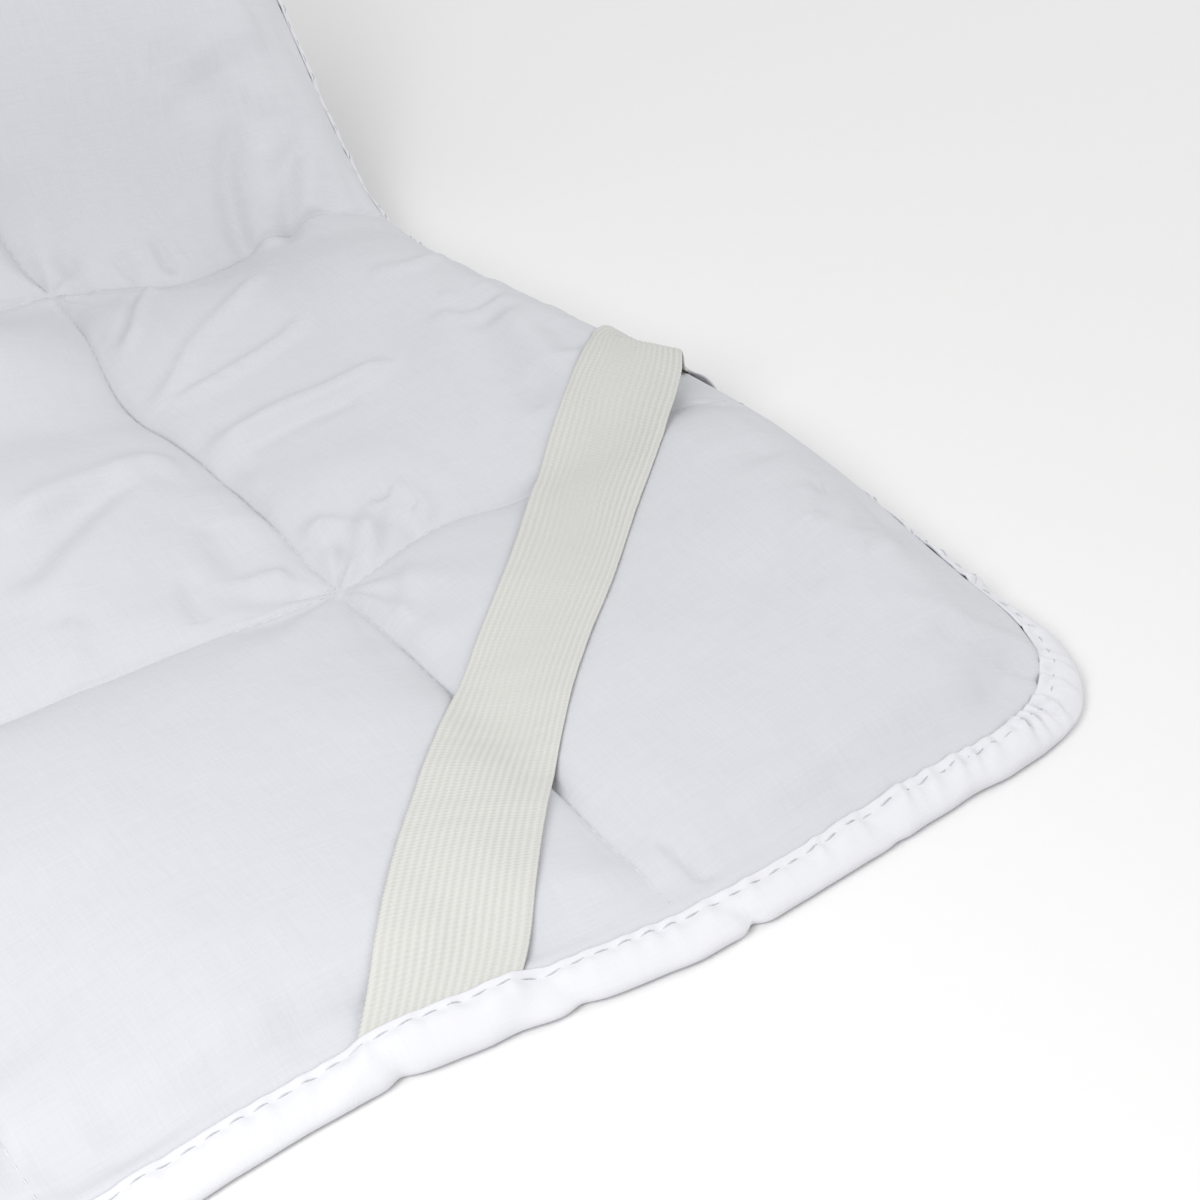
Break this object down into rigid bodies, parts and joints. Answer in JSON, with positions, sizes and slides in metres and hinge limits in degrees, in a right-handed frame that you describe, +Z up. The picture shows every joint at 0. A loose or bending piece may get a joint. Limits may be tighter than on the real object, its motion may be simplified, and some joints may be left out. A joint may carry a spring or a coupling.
{
  "type": "mattress topper",
  "caption": "Thin quilted mattress topper with a bound edge and an elastic band across each corner, laid out with a raised wave across its width.",
  "frame": {"origin": "middle of the footprint, on the surface that the topper lies on", "axes": "+Z up; +Y along the length, from the front edge to the back edge; +X across the width, so that the pictured corner is the front right one at +X and -Y"},
  "size_m": [0.9001, 1.9357, 0.0865],
  "materials": {
    "quilted_cotton": "smooth matt percale with a faint sheen, cool white, quilted",
    "binding_cotton": "smooth matt cotton strip, cool white, topstitched",
    "ribbed_elastic": "woven elastic with lengthwise ribs, ivory, matt"
  },
  "bodies": {
    "root": {"pad": "quilted_cotton", "binding": "binding_cotton", "elastic_front_right": "ribbed_elastic", "elastic_front_left": "ribbed_elastic", "elastic_back_right": "ribbed_elastic", "elastic_back_left": "ribbed_elastic"}
  },
  "joints": []
}
